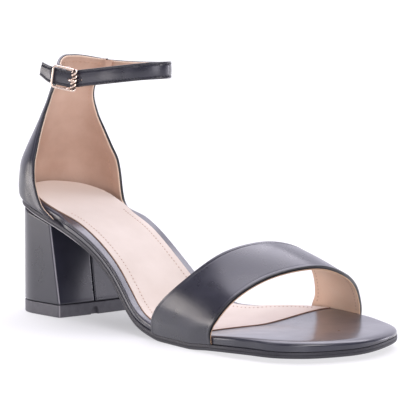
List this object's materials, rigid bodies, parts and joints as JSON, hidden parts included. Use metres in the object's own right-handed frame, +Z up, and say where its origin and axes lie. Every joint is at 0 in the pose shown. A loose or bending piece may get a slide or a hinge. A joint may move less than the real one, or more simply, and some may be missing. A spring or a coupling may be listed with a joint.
{
  "type": "heeled sandal",
  "caption": "Right-foot black heeled sandal with a block heel, closed back counter, broad toe strap, nude sock lining and a buckled ankle strap.",
  "frame": {"origin": "on the floor under the middle of the shoe's box, at the sole's resting plane", "axes": "+X towards the toe, +Y towards the inner (medial) side, +Z up"},
  "size_m": [0.2252, 0.0856, 0.125],
  "materials": {
    "sole_rubber": "matte black resin sheet with a smoothed edge",
    "board_wrap": "smooth black leather wrap, semi-matte",
    "sock_leather": "pale pink-beige lining leather, matte",
    "heel_wrap": "smooth black leather cover, satin to glossy",
    "lift_rubber": "matte black rubber",
    "counter_leather": "smooth black leather outside, nude lining inside",
    "black_leather": "smooth black leather with a folded edge, nude lining inside",
    "ankle_leather": "smooth black leather with stitched edges, nude lining inside",
    "tab_leather": "smooth black leather",
    "buckle_metal": "polished pale rose-gold plate",
    "prong_metal": "polished pale rose-gold plate"
  },
  "bodies": {
    "root": {"outsole": "sole_rubber", "insole_board": "board_wrap", "sock_lining": "sock_leather", "heel_block": "heel_wrap", "heel_top_piece": "lift_rubber", "counter": "counter_leather", "toe_strap": "black_leather", "ankle_strap": "ankle_leather", "buckle_tab": "tab_leather", "buckle_frame": "buckle_metal", "buckle_prong": "prong_metal"}
  },
  "joints": []
}
